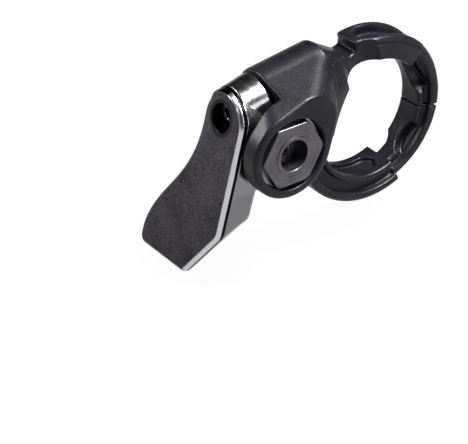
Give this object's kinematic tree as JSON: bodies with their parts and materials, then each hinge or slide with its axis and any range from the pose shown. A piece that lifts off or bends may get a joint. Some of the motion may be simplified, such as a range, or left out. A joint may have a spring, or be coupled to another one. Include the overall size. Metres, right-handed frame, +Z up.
{
  "type": "dropper post remote lever",
  "caption": "Thumb lever remote for a telescopic seat post: hinged handlebar clamp, cast body with a cable stop and a spring-return paddle lever on a bushed pivot.",
  "frame": {"origin": "centre of the handlebar clamp, on the handlebar's axis and midway along the ring's width", "axes": "+X along the handlebar, from the ring towards the cable boss's face; +Z up; the body reaches towards -Y and the lever's blade hangs down from its end"},
  "size_m": [0.0262, 0.0519, 0.0383],
  "materials": {
    "body": "matte",
    "lever": "satin",
    "stop": "satin anodised",
    "steel": "plain",
    "black_steel": "black oxide",
    "bush": "plain",
    "washer": "plain"
  },
  "bodies": {
    "frame": {"body": "body", "hinge_pin": "steel", "thread_insert": "steel", "pivot_bolt": "black_steel", "head_washer": "steel", "disc_spring": "steel", "thrust_washer": "washer", "return_spring": "steel", "housing_stop": "stop", "stop_washer": "steel"},
    "lever_arm": {"lever": "lever", "outer_bush": "bush", "inner_bush": "bush", "anchor_screw": "black_steel", "pinch_pad": "bush"},
    "lower_jaw": {"jaw": "body"},
    "bolt": {"clamp_bolt": "black_steel", "bolt_washer": "steel"}
  },
  "joints": [
    {"name": "lever_pivot", "type": "hinge", "parent": "frame", "child": "lever_arm", "pos_m": [0, -0.02238, 0.00966], "axis": [0, 0.9903, 0.1392], "range_deg": [0, 28], "stiffness_Nm_per_rad": 0.05, "springref_deg": -17.19, "deforming": ["return_spring"]},
    {"name": "jaw_hinge", "type": "hinge", "parent": "frame", "child": "lower_jaw", "pos_m": [0, 0.01364, -0.00036], "axis": [1, 0, 0], "range_deg": [0, 5]},
    {"name": "bolt_travel", "type": "slide", "parent": "frame", "child": "bolt", "axis": [0, 0, -1], "range_m": [0, 0.0029]}
  ],
  "couplings": [
    {"joint": "bolt_travel", "follows": "jaw_hinge", "m_per_rad": 0.033}
  ]
}
